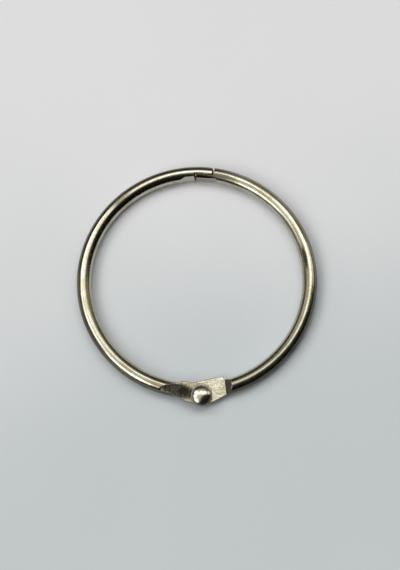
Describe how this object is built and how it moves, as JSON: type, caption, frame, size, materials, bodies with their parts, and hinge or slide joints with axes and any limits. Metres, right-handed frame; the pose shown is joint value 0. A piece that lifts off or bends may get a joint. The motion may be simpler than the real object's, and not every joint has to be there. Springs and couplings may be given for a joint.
{
  "type": "hinged binder ring",
  "caption": "Round loose-leaf binder ring: two wire half rings on a riveted hinge, closed by a hooked lap.",
  "frame": {"origin": "centre of the closed ring, on the mid-plane of its wire", "axes": "+Z along the ring's axis, towards the rivet's domed head; the rivet's axis crosses -Y; +X towards the half that swings open"},
  "size_m": [0.057, 0.059, 0.0041],
  "materials": {
    "plated_wire": "nickel-plated steel wire, bright with a warm cast, stamped rough at the ears",
    "plated_rivet": "nickel-plated steel, polished dome"
  },
  "bodies": {
    "left_half": {"left_half_ring": "plated_wire", "hinge_rivet": "plated_rivet"},
    "right_half": {"right_half_ring": "plated_wire"}
  },
  "joints": [
    {"name": "hinge", "type": "hinge", "parent": "left_half", "child": "right_half", "pos_m": [0, -0.02805, 0], "axis": [0, 0, -1], "range_deg": [0, 180]}
  ]
}
